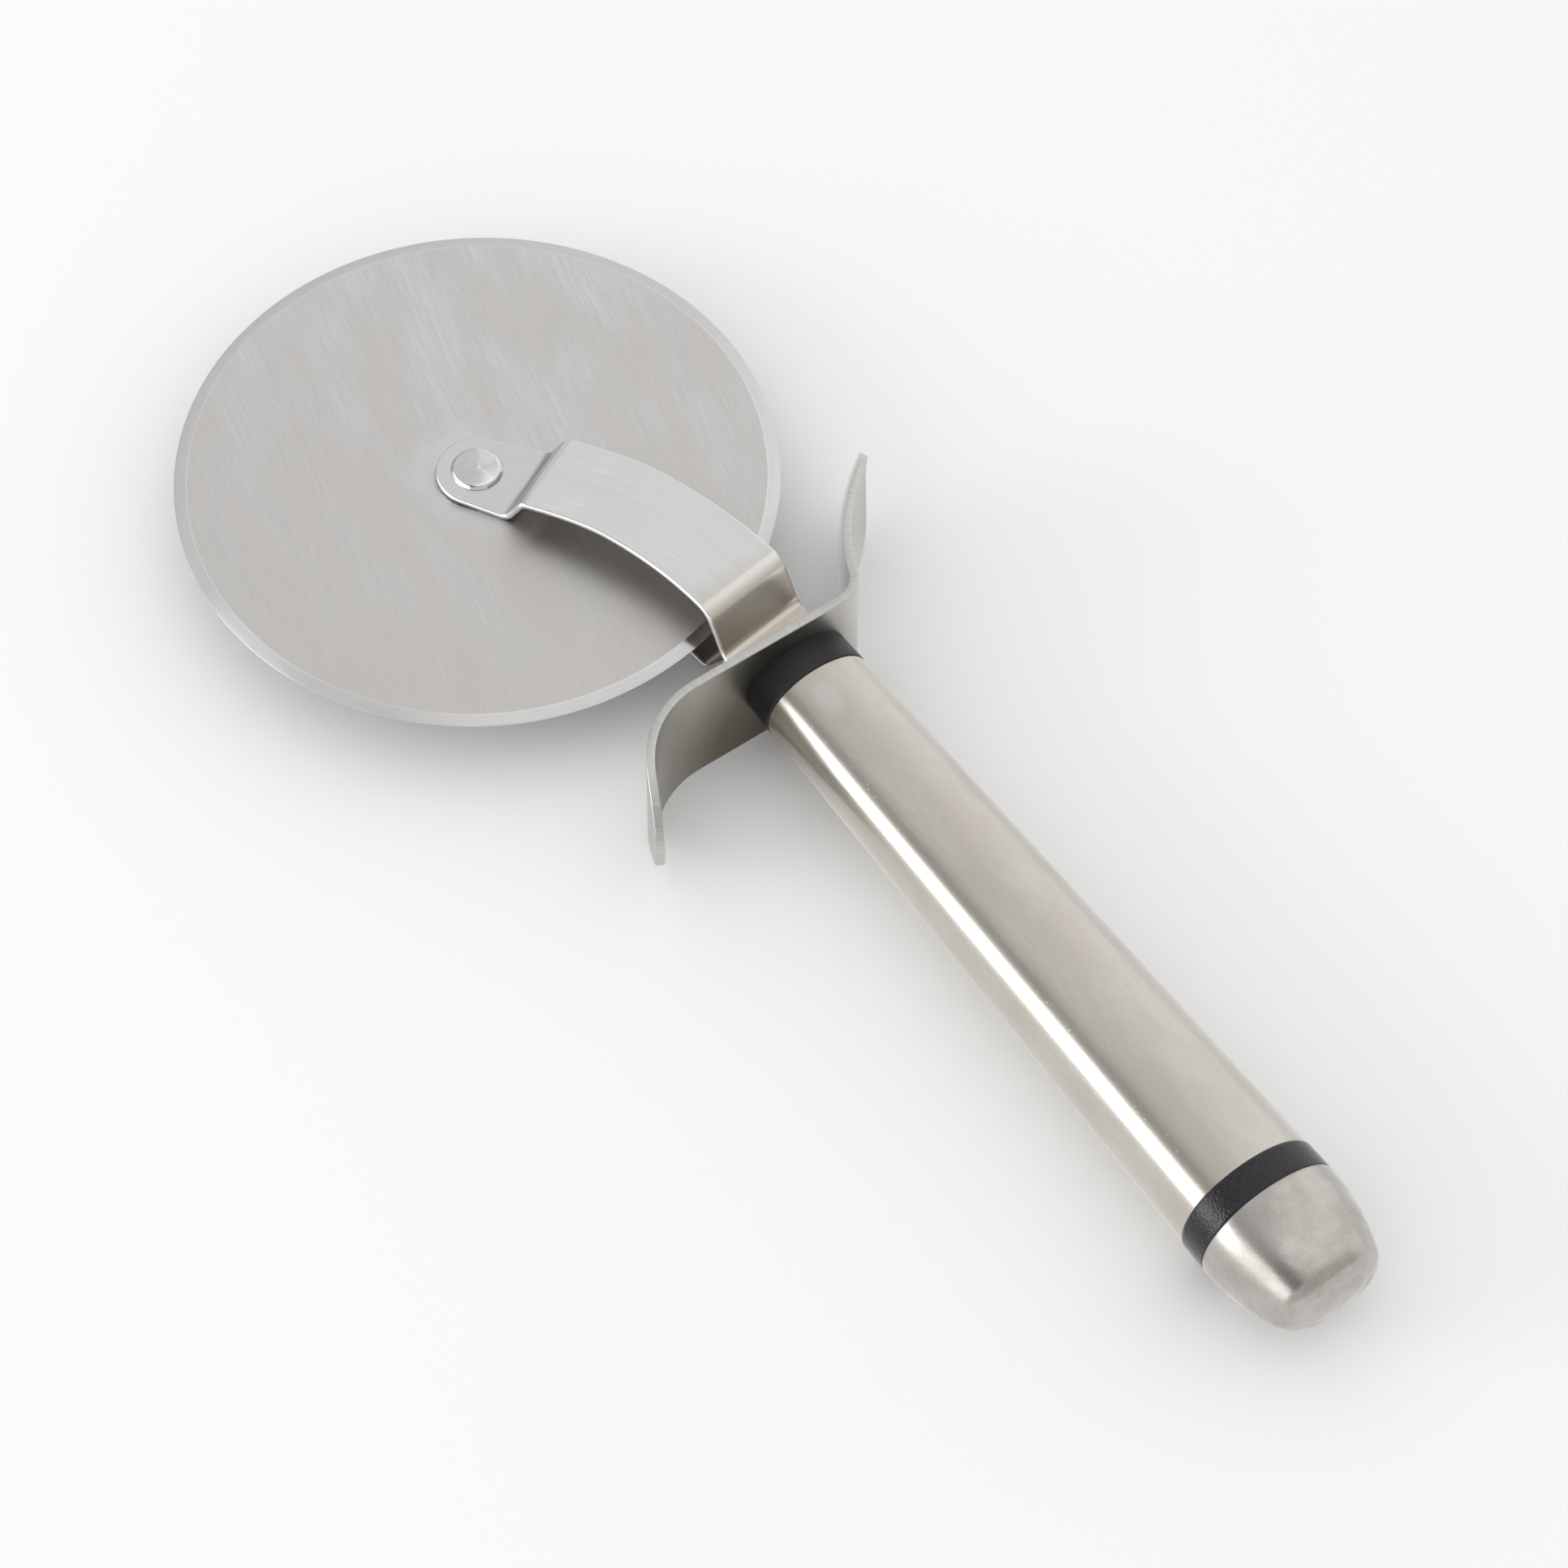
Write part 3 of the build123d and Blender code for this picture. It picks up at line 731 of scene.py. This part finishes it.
def brushed_wheel():
    """The wheel's flat faces: one straight brushing in long fine strokes, warmer in soft clouds, with
    painted shade, darker and warmer, towards the handle and towards the finger guard's side, a paler and
    bluer ring round the tab where the brush couldn't reach, and scratches."""
    groove, ridge, band = (0.552, 0.553, 0.554), (0.692, 0.693, 0.693), (0.630, 0.631, 0.632)
    warm_painted_shade, low_painted_shade, clouded = (0.568, 0.544, 0.520), (0.540, 0.515, 0.494), (0.566, 0.540, 0.515)
    unbrushed, scratched = (0.632, 0.640, 0.664), (0.75, 0.745, 0.735)
    ring_size = (14 * mm, 12.5 * mm, 1.0)
    made, tree, shader = new_material("brushed_wheel")
    fine = noise(tree, (8 * mm, 0.3 * mm, 2 * mm), brushing_turn)
    wide = noise(tree, (15 * mm, 1.1 * mm, 4 * mm), brushing_turn, seed=(0.02, 0.07, 0.01))
    colour = blend_colours(tree, spread(tree, fine, *noise_span), groove, ridge)
    colour = blend_colours(tree, spread(tree, wide, *cloud_span, 0.0, 0.5), colour, band)
    place = object_place(tree)
    # Painted shade: darker and warmer towards the handle and towards the finger guard's side.
    back = spread(tree, place[0], axle_x - wheel_radius, axle_x + wheel_radius, 0.0, 0.7)
    colour = blend_colours(tree, back, colour, warm_painted_shade)
    low = spread(tree, place[1], axle_y + 0.2 * wheel_radius, axle_y - wheel_radius, 0.0, 0.5)
    colour = blend_colours(tree, low, colour, low_painted_shade)
    cloud = noise(tree, (24 * mm, 9 * mm, 20 * mm), brushing_turn, seed=(0.31, 0.17, 0.05))
    colour = blend_colours(tree, spread(tree, cloud, 0.40, 0.62, 0.0, 0.6), colour, clouded)
    ring = nearness(tree, (axle_x, axle_y, mid_height), ring_size, 0.62, 1.0)
    patchy = noise(tree, (6 * mm,) * 3, seed=(0.4, 0.2, 0.1))
    pale = maths(tree, "MULTIPLY", ring, spread(tree, patchy, 0.38, 0.6, 0.3, 0.9))
    colour = blend_colours(tree, pale, colour, unbrushed)
    line = noise(tree, (11 * mm, 0.07 * mm, 3 * mm), brushing_turn, detail=0.0, seed=(0.11, 0.5, 0.3))
    colour = blend_colours(tree, spread(tree, line, 0.73, 0.8, 0.0, 0.5), colour, scratched)
    rough = spread(tree, fine, *noise_span, 0.36, 0.39)
    steel(tree, shader, colour, rough, anisotropy=0.68, height=fine, depth=0.0004 * mm)
    return made


def ground_bevel():
    """The wheel's ground edge: fine rings of grinding marks, which throw a lamp's light far out across
    them. A painted highlight makes it lighter along its inner crease."""
    groove, ridge, crease_highlight = (0.59, 0.585, 0.58), (0.665, 0.66, 0.655), (0.78, 0.78, 0.78)
    made, tree, shader = new_material("ground_bevel")
    fine = noise(tree, (0.15 * mm, 12 * mm, 1.0), by_grain=True)
    colour = blend_colours(tree, spread(tree, fine, *noise_span), groove, ridge)
    radius = grain_place(tree)[0]
    inner = wheel_radius - bevel_width
    # Painted highlight along the bevel's inner crease.
    crease_highlight_share = spread(tree, radius, inner + 0.05 * mm, inner + 0.3 * mm, 0.6, 0.0)
    colour = blend_colours(tree, crease_highlight_share, colour, crease_highlight)
    steel(tree, shader, colour, spread(tree, fine, *noise_span, 0.28, 0.32), anisotropy=0.97)
    return made


def brushed_arm(name, light, drop_shade_share):
    """A strap's face: brushed lengthwise, with long fine hairlines, duller on the tab, with painted shade
    along the step and warmer painted shade down the drop to the handle. light is its colour on the crown."""
    dark, bright, dull = [tuple(part * share for part in light) for share in (0.965, 1.03, 0.88)]
    hairline, warm_painted_shade, step_painted_shade = (0.90, 0.90, 0.90), (0.52, 0.465, 0.38), (0.28, 0.28, 0.31)
    made, tree, shader = new_material(name)
    fine = noise(tree, (0.24 * mm, 11 * mm, 1.0), by_grain=True)
    wide = noise(tree, (1.4 * mm, 26 * mm, 1.0), by_grain=True, detail=1.0, seed=(0.2, 0.4, 0.0))
    colour = blend_colours(tree, spread(tree, fine, *noise_span), dark, light)
    colour = blend_colours(tree, spread(tree, wide, *cloud_span, 0.0, 0.6), colour, bright)
    hair = noise(tree, (0.07 * mm, 18 * mm, 1.0), by_grain=True, detail=0.0, seed=(0.6, 0.1, 0.0))
    patchy = noise(tree, (5 * mm, 12 * mm, 1.0), by_grain=True, detail=1.0, seed=(0.3, 0.9, 0.0))
    where = maths(tree, "MULTIPLY", spread(tree, hair, 0.66, 0.74), spread(tree, patchy, 0.45, 0.6))
    colour = blend_colours(tree, share_of(tree, where, 0.75), colour, hairline)
    # Painted shade: warmer and darker down the drop to the handle.
    down_drop = spread(tree, object_place(tree)[0], -19 * mm, -10 * mm, 0.0, drop_shade_share)
    colour = blend_colours(tree, down_drop, colour, warm_painted_shade)
    along = grain_place(tree)[1]
    tab = spread(tree, along, step_foot + step_run, step_foot, 0.0, 0.8)
    colour = blend_colours(tree, tab, colour, dull)
    # Painted shade along the step.
    onto_step = spread(tree, along, step_foot - 0.4 * mm, step_foot + 0.5 * mm, 0.0, 0.6)
    off_step = spread(tree, along, step_foot + 0.6 * step_run, step_foot + step_run, 1.0, 0.0)
    colour = blend_colours(tree, maths(tree, "MULTIPLY", onto_step, off_step), colour, step_painted_shade)
    rough = spread(tree, fine, *noise_span, 0.24, 0.27)
    steel(tree, shader, colour, rough, anisotropy=0.5, height=fine, depth=0.0005 * mm)
    return made


def polished_rim():
    """The tumbled rims of the straps: smoother than their faces and lightly clouded."""
    dark, light = (0.69, 0.685, 0.68), (0.74, 0.735, 0.73)
    made, tree, shader = new_material("polished_rim")
    fine = noise(tree, (0.8 * mm,) * 3)
    colour = blend_colours(tree, spread(tree, fine, *noise_span), dark, light)
    steel(tree, shader, colour, spread(tree, fine, *noise_span, 0.17, 0.22))
    return made


def satin_guard(name, dark, light, with_painted_shade):
    """The guard's sheet: satin, with a fine even grain and soft clouds, and where asked, a warm dark
    painted shade round the handle's front ring."""
    grained, painted_shade = (0.7, 0.69, 0.67), (0.19, 0.176, 0.135)
    painted_shade_centre, painted_shade_size = (0, -8 * mm, 4 * mm), (30 * mm, 24 * mm, 30 * mm)
    made, tree, shader = new_material(name)
    grain = noise(tree, (0.18 * mm,) * 3, detail=1.0)
    cloud = noise(tree, (6 * mm, 6 * mm, 9 * mm), detail=3.0, seed=(0.3, 0.1, 0.6))
    colour = blend_colours(tree, spread(tree, cloud, *cloud_span), dark, light)
    colour = blend_colours(tree, spread(tree, grain, *cloud_span, 0.0, 0.12), colour, grained)
    if with_painted_shade:
        # Painted shade: a warm dark patch round the handle's front ring.
        near = nearness(tree, painted_shade_centre, painted_shade_size, 0.3, 1.0)
        colour = blend_colours(tree, share_of(tree, near, 0.95), colour, painted_shade)
    rough = spread(tree, cloud, *cloud_span, 0.34, 0.38)
    steel(tree, shader, colour, rough, height=grain, depth=0.0015 * mm)
    return made


def sheared_rim():
    """The guard's edge: paler than its faces, with fine marks of the shears across it."""
    dark, light = (0.46, 0.455, 0.44), (0.57, 0.565, 0.55)
    made, tree, shader = new_material("sheared_rim")
    fine = noise(tree, (2.2 * mm, 0.25 * mm, 1.0), by_grain=True, detail=3.0)
    colour = blend_colours(tree, spread(tree, fine, *noise_span), dark, light)
    rough = spread(tree, fine, *noise_span, 0.28, 0.38)
    steel(tree, shader, colour, rough, height=fine, depth=0.003 * mm)
    return made


def satin_grip():
    """The handle's tube: satin steel with a faint even grain, soft warm mottling along it, a paler spot
    behind the front ring and a few tiny pits. Its highlight is drawn out along it."""
    dark, light = (0.540, 0.508, 0.464), (0.586, 0.554, 0.508)
    mottled, paler_spot_colour = (0.528, 0.492, 0.438), (0.68, 0.67, 0.66)
    spot_centre, spot_size = (12.3 * mm, -2.1 * mm, 20 * mm), (3.9 * mm, 2.1 * mm, 3 * mm)
    made, tree, shader = new_material("satin_grip")
    grain = noise(tree, (0.22 * mm,) * 3, detail=1.0)
    fine = noise(tree, (4 * mm, 0.9 * mm, 0.9 * mm), detail=3.0, roughness=0.6)
    colour = blend_colours(tree, spread(tree, fine, *noise_span), dark, light)
    cloud = noise(tree, (17 * mm, 8 * mm, 8 * mm), detail=3.0, seed=(0.31, 0.17, 0.05))
    colour = blend_colours(tree, spread(tree, cloud, 0.42, 0.6, 0.0, 0.85), colour, mottled)
    # A paler spot behind the front ring.
    paler_spot = nearness(tree, spot_centre, spot_size, 0.6, 1.15)
    colour = blend_colours(tree, share_of(tree, paler_spot, 0.35), colour, paler_spot_colour)
    pit = spread(tree, noise(tree, (0.45 * mm,) * 3, detail=0.0, seed=(0.7, 0.3, 0.2)), 0.79, 0.84)
    height = maths(tree, "SUBTRACT", grain, share_of(tree, pit, 3.0))
    rough = spread(tree, fine, *noise_span, 0.245, 0.28)
    steel(tree, shader, colour, rough, anisotropy=0.9, height=height, depth=0.003 * mm)
    return made


def cloudy_cap():
    """The cap: the same steel, drawn and tumbled, so its grain is coarser and its gloss comes and goes."""
    # Painted shade: the cap's colours are darker than the tube's, for the dimmer light its surface
    # reflects.
    dark, light, grained = (0.385, 0.362, 0.332), (0.475, 0.452, 0.420), (0.56, 0.54, 0.51)
    made, tree, shader = new_material("cloudy_cap")
    grain = noise(tree, (0.3 * mm,) * 3)
    cloud = noise(tree, (4.5 * mm,) * 3, detail=3.0, roughness=0.6, seed=(0.2, 0.6, 0.1))
    colour = blend_colours(tree, spread(tree, cloud, *cloud_span), dark, light)
    colour = blend_colours(tree, spread(tree, grain, *cloud_span, 0.0, 0.3), colour, grained)
    height = maths(tree, "ADD", grain, share_of(tree, cloud, 3.5))
    rough = spread(tree, cloud, *cloud_span, 0.28, 0.2)
    steel(tree, shader, colour, rough, height=height, depth=0.007 * mm)
    return made


def polished_pin():
    """The rivet: turned and polished, with the faintest rings and darker sectors of painted shade."""
    dark, light, sector_painted_shade = (0.64, 0.637, 0.635), (0.71, 0.707, 0.705), (0.55, 0.547, 0.545)
    made, tree, shader = new_material("polished_pin")
    fine = noise(tree, (0.12 * mm, 9 * mm, 1.0), by_grain=True, detail=1.0)
    cloud = noise(tree, (1.4 * mm,) * 3)
    colour = blend_colours(tree, spread(tree, cloud, *cloud_span), dark, light)
    # Painted shade: darker sectors on the head, standing in for the dark wedges it reflects.
    sector = noise(tree, (30 * mm, 9 * mm, 1.0), by_grain=True, detail=1.0, seed=(0.1, 0.7, 0.0))
    colour = blend_colours(tree, spread(tree, sector, 0.44, 0.56, 0.0, 0.7), colour, sector_painted_shade)
    rings = spread(tree, fine, *noise_span, 0.04, 0.08)
    rough = maths(tree, "ADD", rings, spread(tree, cloud, *noise_span, 0.0, 0.04))
    steel(tree, shader, colour, rough)
    return made


def moulded_ring(name, grain_size, grain_depth, roughness, gloss):
    """Black moulded plastic with a spark-eroded grain, finer and flatter on the front ring."""
    dark, light = (0.007, 0.007, 0.009), (0.016, 0.016, 0.020)
    made, tree, shader = new_material(name)
    fine = noise(tree, (grain_size,) * 3)
    wide = noise(tree, (7 * mm,) * 3, seed=(0.2, 0.2, 0.2))
    colour = blend_colours(tree, spread(tree, fine, *cloud_span), dark, light)
    tree.links.new(colour, shader.inputs["Base Color"])
    tree.links.new(spread(tree, wide, *cloud_span, *roughness), shader.inputs["Roughness"])
    shader.inputs["Specular IOR Level"].default_value = gloss
    raise_grain(tree, shader, fine, grain_depth)
    return made


# Studio


def make_floor():
    """A plain pale floor, on which the tool's own soft shadow lies. In mirrored light it is plain white
    under the handle and on the thumb rest's side, and itself under the wheel and the finger guard."""
    pale, plain_white = (0.94, 0.94, 0.94, 1), (1, 1, 1, 1)
    corners = [(-1, -1), (1, -1), (1, 1), (-1, 1)]
    mesh = bpy.data.meshes.new("floor")
    lowered = [(floor_half * x, floor_half * y, -floor_drop) for x, y in corners]
    mesh.from_pydata(lowered, [], [(0, 1, 2, 3)])
    floor = bpy.data.objects.new("floor", mesh)
    bpy.context.scene.collection.objects.link(floor)
    made = bpy.data.materials.new("pale_floor")
    made.use_nodes = True
    tree = made.node_tree
    tree.nodes.clear()
    matt = add(tree, "ShaderNodeBsdfDiffuse", {"Color": pale})
    white = add(tree, "ShaderNodeEmission", {"Color": plain_white, "Strength": 1.0})
    place = object_place(tree)
    under_handle = spread(tree, place[0], 6 * mm, 24 * mm)
    thumb_side = spread(tree, place[1], 8 * mm, 24 * mm)
    clear = maths(tree, "MAXIMUM", under_handle, thumb_side)
    ray = add(tree, "ShaderNodeLightPath").outputs
    mirrored = maths(tree, "MAXIMUM", ray["Is Glossy Ray"], ray["Is Transmission Ray"])
    share = maths(tree, "MULTIPLY", mirrored, clear)
    shown = add(tree, "ShaderNodeMixShader", (share, matt.outputs[0], white.outputs[0]))
    output = add(tree, "ShaderNodeOutputMaterial")
    tree.links.new(shown.outputs[0], output.inputs["Surface"])
    mesh.materials.append(made)


def make_dome():
    """The studio's white surroundings. The camera sees plain white, and matt surfaces an even level. In
    reflections the dome takes its level from its lean. Its lowest band on the finger guard's side fades
    towards the handle's end, and so does its rear half, which is the brightest overhead. A dim spot above
    that band shows in the cap's shoulder. Straight ahead of the wheel the dome is a little dimmer."""
    even, white = (0.95, 0.95, 0.95), (1, 1, 1)
    faded_band, bright_rear, faded_rear = (0.6, 0.6, 0.6), (1.17, 1.17, 1.17), (0.72, 0.71, 0.70)
    dim, dimmer_ahead = (0.22, 0.22, 0.22), (0.72, 0.72, 0.73)
    world = bpy.data.worlds.new("studio_dome")
    bpy.context.scene.world = world
    world.use_nodes = True
    tree = world.node_tree
    tree.nodes.clear()
    facing = add(tree, "ShaderNodeTexCoord").outputs["Generated"]
    x, y, z = add(tree, "ShaderNodeSeparateXYZ", (facing,)).outputs
    lean = maths(tree, "ARCTAN2", y, z)
    ramp = add(tree, "ShaderNodeValToRGB", (spread(tree, lean, -math.pi / 2, math.pi / 2),))
    elements = ramp.color_ramp.elements
    while len(elements) < len(dome_levels):
        elements.new(0.5)
    for element, (angle, level) in zip(elements, dome_levels):
        element.position = (angle + 90) / 180
        element.color = (level, level, level, 1)
    in_band = spread(tree, lean, math.radians(-56), math.radians(-62))
    far_band = maths(tree, "MULTIPLY", spread(tree, x, 0.40, 0.70), in_band)
    colour = blend_colours(tree, far_band, ramp.outputs[0], faded_band)
    rear = blend_colours(tree, spread(tree, x, 0.15, 0.7), bright_rear, faded_rear)
    towards = add(tree, "ShaderNodeVectorMath", (facing, rear_half_towards), operation="DOT_PRODUCT")
    colour = blend_colours(tree, spread(tree, towards.outputs["Value"], -0.03, 0.03), colour, rear)
    towards = add(tree, "ShaderNodeVectorMath", (facing, dim_spot_towards), operation="DOT_PRODUCT")
    colour = blend_colours(tree, spread(tree, towards.outputs["Value"], 0.955, 0.985), colour, dim)
    colour = blend_colours(tree, spread(tree, x, -0.80, -0.90), colour, dimmer_ahead)
    ray = add(tree, "ShaderNodeLightPath").outputs
    backdrop = blend_colours(tree, ray["Is Camera Ray"], colour, white)
    mirrored = maths(tree, "MAXIMUM", ray["Is Glossy Ray"], ray["Is Transmission Ray"])
    seen = maths(tree, "MAXIMUM", ray["Is Camera Ray"], mirrored)
    shown = blend_colours(tree, seen, even, backdrop)
    light = add(tree, "ShaderNodeBackground", {"Color": shown, "Strength": 1.0})
    output = add(tree, "ShaderNodeOutputWorld")
    tree.links.new(light.outputs[0], output.inputs["Surface"])


def make_softbox():
    """A softbox low on the finger guard's side, a little ahead of the wheel's axle, facing the wheel."""
    level = math.cos(softbox_rise)
    along, aside = math.cos(softbox_azimuth) * level, math.sin(softbox_azimuth) * level
    away = Vector((along, aside, math.sin(softbox_rise)))
    lamp = bpy.data.lights.new("softbox", "AREA")
    lamp.shape = "RECTANGLE"
    lamp.size = softbox_width
    lamp.size_y = softbox_height
    lamp.energy = softbox_level * math.pi * softbox_width * softbox_height
    made = bpy.data.objects.new("softbox", lamp)
    made.location = Vector((axle_x, axle_y, mid_height)) + away * softbox_distance
    made.rotation_euler = away.to_track_quat("Z", "Y").to_euler()
    made.visible_camera = False
    bpy.context.scene.collection.objects.link(made)


def make_camera():
    """The photograph's camera: a long lens from behind the handle on the finger guard's side."""
    lens = bpy.data.cameras.new("camera")
    lens.sensor_width = camera_sensor
    lens.lens = camera_lens
    lens.clip_start = 0.01
    lens.clip_end = 50.0
    made = bpy.data.objects.new("camera", lens)
    made.location = camera_place
    made.rotation_euler = [math.radians(angle) for angle in camera_angles]
    bpy.context.scene.collection.objects.link(made)
    bpy.context.scene.camera = made


pin_steel = polished_pin()
grip_steel = satin_grip()
front_plastic = moulded_ring("smooth_ring", 0.16 * mm, 0.006 * mm, (0.42, 0.5), 0.42)
rear_plastic = moulded_ring("grained_ring", 0.42 * mm, 0.11 * mm, (0.17, 0.23), 0.4)

make_wheel(brushed_wheel(), ground_bevel())
make_rivet(pin_steel)
make_arms(
    brushed_arm("brushed_arm", (0.705, 0.701, 0.698), 0.85),
    polished_rim(),
    # The straps' inner faces are painted much darker than their outer faces, as shade, which the wheel
    # reflects.
    brushed_arm("inside_painted_shade", (0.36, 0.335, 0.305), 0.3),
)
make_guard(
    # Painted shade: the rear face's colours are a little darker and warmer than the front's.
    satin_guard("satin_guard_rear", (0.46, 0.445, 0.405), (0.52, 0.505, 0.465), True),
    sheared_rim(),
    satin_guard("satin_guard_front", (0.48, 0.47, 0.45), (0.54, 0.53, 0.51), False),
)
tube_looks = (grip_steel, "grip_steel", "handle_tube")
make_ring("ring_front", guard_thickness / 2 - ring_lap, tube_low.x, front_plastic, "front_ring")
make_shell("tube", tube_low.x, tube_high.x, 0.0, tube_wall, tube_rim, tube_rows, *tube_looks)
make_ring("ring_rear", tube_high.x, cap_low.x, rear_plastic, "rear_ring")
make_cap(cloudy_cap())

for node, finish in (
    ("axle_bush", pin_steel),
    ("cap_insert", rear_plastic),
    ("tie_rod", pin_steel),
    ("tang_rivets", pin_steel),
):
    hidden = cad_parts[node]
    hidden.data.materials.clear()
    hidden.data.materials.append(finish)

make_floor()
make_dome()
make_softbox()
make_camera()
bpy.context.scene.view_settings.view_transform = "Standard"
